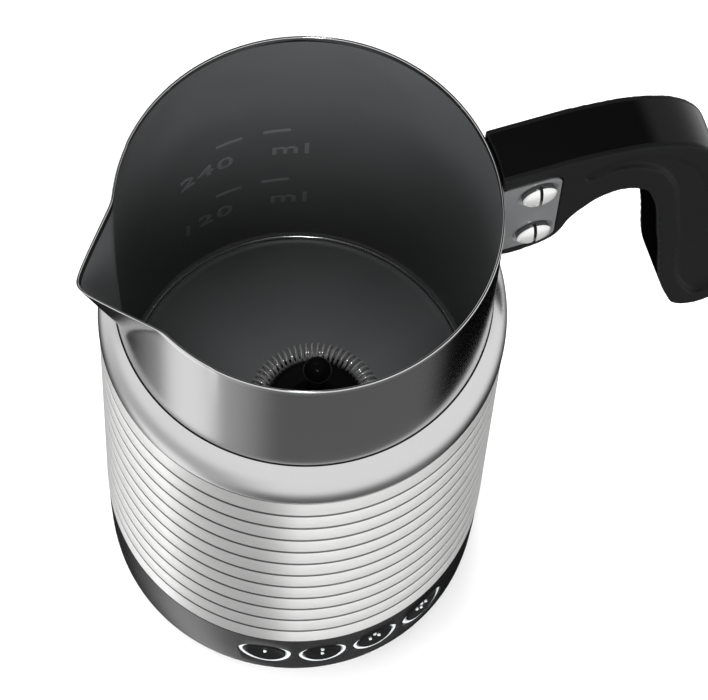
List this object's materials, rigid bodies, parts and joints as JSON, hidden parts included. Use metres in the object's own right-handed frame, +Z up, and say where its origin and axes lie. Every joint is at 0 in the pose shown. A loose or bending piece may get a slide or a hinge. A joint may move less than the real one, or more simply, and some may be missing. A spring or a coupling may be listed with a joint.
{
  "type": "electric milk frother",
  "caption": "Table-top milk frother: a ribbed induction base holds a lift-out steel jug with a spout, a black handle and a magnetically driven wire whisk.",
  "frame": {"origin": "on the base's axis, in the underside of its rubber pad, where it stands on the table", "axes": "+X towards the jug's handle, -X towards its spout, -Y towards the buttons, +Z up"},
  "size_m": [0.1551, 0.0913, 0.1653],
  "materials": {
    "matte_rubber": "matte",
    "fine_texture_matte_plastic": "fine texture",
    "bright_brushed_steel": "bright",
    "gloss_gloss_plastic": "gloss",
    "bright_aluminium": "bright, twelve bands",
    "polished_chrome": "polished",
    "satin_matte_plastic": "satin",
    "enamelled_copper_winding_brass": "enamelled copper winding",
    "plain_matte_plastic": "plain",
    "matte_ceramic": "matte",
    "pressed_sheet_brushed_steel": "pressed sheet",
    "plated_brushed_steel": "plated",
    "plain_brass": "plain",
    "solder_resist_matte_plastic": "solder resist",
    "sleeve_matte_plastic": "sleeve",
    "plain_aluminium": "plain",
    "frosted_gloss_plastic": "frosted",
    "ground_brushed_steel": "ground",
    "nickel_brushed_steel": "nickel",
    "satin_outside_brushed_steel": "satin outside, dark coating inside",
    "plain_brushed_steel": "plain",
    "gloss_top_gloss_plastic": "gloss top, satin sides",
    "satin_brushed_steel": "satin",
    "bright_wire_brushed_steel": "bright wire",
    "satin_gloss_plastic": "satin"
  },
  "bodies": {
    "base": {"base_pad": "matte_rubber", "bottom_cover": "fine_texture_matte_plastic", "cover_screw_1": "bright_brushed_steel", "cover_screw_2": "bright_brushed_steel", "cover_screw_3": "bright_brushed_steel", "cover_screw_4": "bright_brushed_steel", "lower_housing": "gloss_gloss_plastic", "ribbed_sleeve": "bright_aluminium", "collar": "polished_chrome", "jug_well": "satin_matte_plastic", "induction_coil": "enamelled_copper_winding_brass", "coil_carrier": "plain_matte_plastic", "mount_screw_left": "bright_brushed_steel", "mount_screw_right": "bright_brushed_steel", "ferrite_bar_1": "matte_ceramic", "ferrite_bar_2": "matte_ceramic", "ferrite_bar_3": "matte_ceramic", "ferrite_bar_4": "matte_ceramic", "temperature_sensor": "bright_brushed_steel", "motor_mount": "pressed_sheet_brushed_steel", "motor_can": "plated_brushed_steel", "bearing_bush": "plain_brass", "power_board": "solder_resist_matte_plastic", "filter_capacitor": "sleeve_matte_plastic", "power_choke": "enamelled_copper_winding_brass", "heat_sink": "plain_aluminium", "terminal_block": "plain_matte_plastic", "switch_board": "solder_resist_matte_plastic", "light_ring_dense_foam": "frosted_gloss_plastic", "light_ring_light_foam": "frosted_gloss_plastic", "light_ring_hot_milk": "frosted_gloss_plastic", "light_ring_cold_foam": "frosted_gloss_plastic", "tact_switch_dense_foam": "plated_brushed_steel", "tact_switch_light_foam": "plated_brushed_steel", "tact_switch_hot_milk": "plated_brushed_steel", "tact_switch_cold_foam": "plated_brushed_steel", "cable_gland": "matte_rubber"},
    "rotor": {"motor_shaft": "ground_brushed_steel", "magnet_holder": "plain_matte_plastic", "drive_magnet_1": "nickel_brushed_steel", "drive_magnet_2": "nickel_brushed_steel"},
    "jug": {"jug_shell": "satin_outside_brushed_steel", "jug_base_disc": "plain_brushed_steel", "whisk_pivot": "bright_brushed_steel", "handle": "gloss_top_gloss_plastic", "handle_bracket": "satin_brushed_steel", "handle_screw_upper": "polished_chrome", "handle_screw_lower": "polished_chrome"},
    "whisk_carrier": {"whisk_bush": "plain_brass"},
    "whisk": {"whisk_body": "gloss_gloss_plastic", "whisk_magnet_1": "nickel_brushed_steel", "whisk_magnet_2": "nickel_brushed_steel", "whisk_coil": "bright_wire_brushed_steel", "whisk_knob": "gloss_gloss_plastic"},
    "button_dense_foam": {"button_dense_foam": "satin_gloss_plastic"},
    "button_light_foam": {"button_light_foam": "satin_gloss_plastic"},
    "button_hot_milk": {"button_hot_milk": "satin_gloss_plastic"},
    "button_cold_foam": {"button_cold_foam": "satin_gloss_plastic"}
  },
  "joints": [
    {"name": "jug_lift", "type": "slide", "parent": "base", "child": "jug", "axis": [0, 0, 1], "range_m": [0, 0.12]},
    {"name": "whisk_lift", "type": "slide", "parent": "jug", "child": "whisk_carrier", "axis": [0, 0, 1], "range_m": [0, 0.115]},
    {"name": "whisk_spin", "type": "hinge", "parent": "whisk_carrier", "child": "whisk", "pos_m": [0.002, -0.006, 0.0713], "axis": [0, 0, 1], "continuous": true},
    {"name": "motor_spin", "type": "hinge", "parent": "base", "child": "rotor", "pos_m": [0.002, -0.006, 0.055], "axis": [0, 0, 1], "continuous": true},
    {"name": "press_dense_foam", "type": "slide", "parent": "base", "child": "button_dense_foam", "axis": [0, 1, 0], "range_m": [0, 0.001], "stiffness_N_per_m": 400, "springref_m": -0.0005},
    {"name": "press_light_foam", "type": "slide", "parent": "base", "child": "button_light_foam", "axis": [0, 1, 0], "range_m": [0, 0.001], "stiffness_N_per_m": 400, "springref_m": -0.0005},
    {"name": "press_hot_milk", "type": "slide", "parent": "base", "child": "button_hot_milk", "axis": [0, 1, 0], "range_m": [0, 0.001], "stiffness_N_per_m": 400, "springref_m": -0.0005},
    {"name": "press_cold_foam", "type": "slide", "parent": "base", "child": "button_cold_foam", "axis": [0, 1, 0], "range_m": [0, 0.001], "stiffness_N_per_m": 400, "springref_m": -0.0005}
  ],
  "couplings": [
    {"joint": "whisk_spin", "follows": "motor_spin", "ratio": 1}
  ]
}
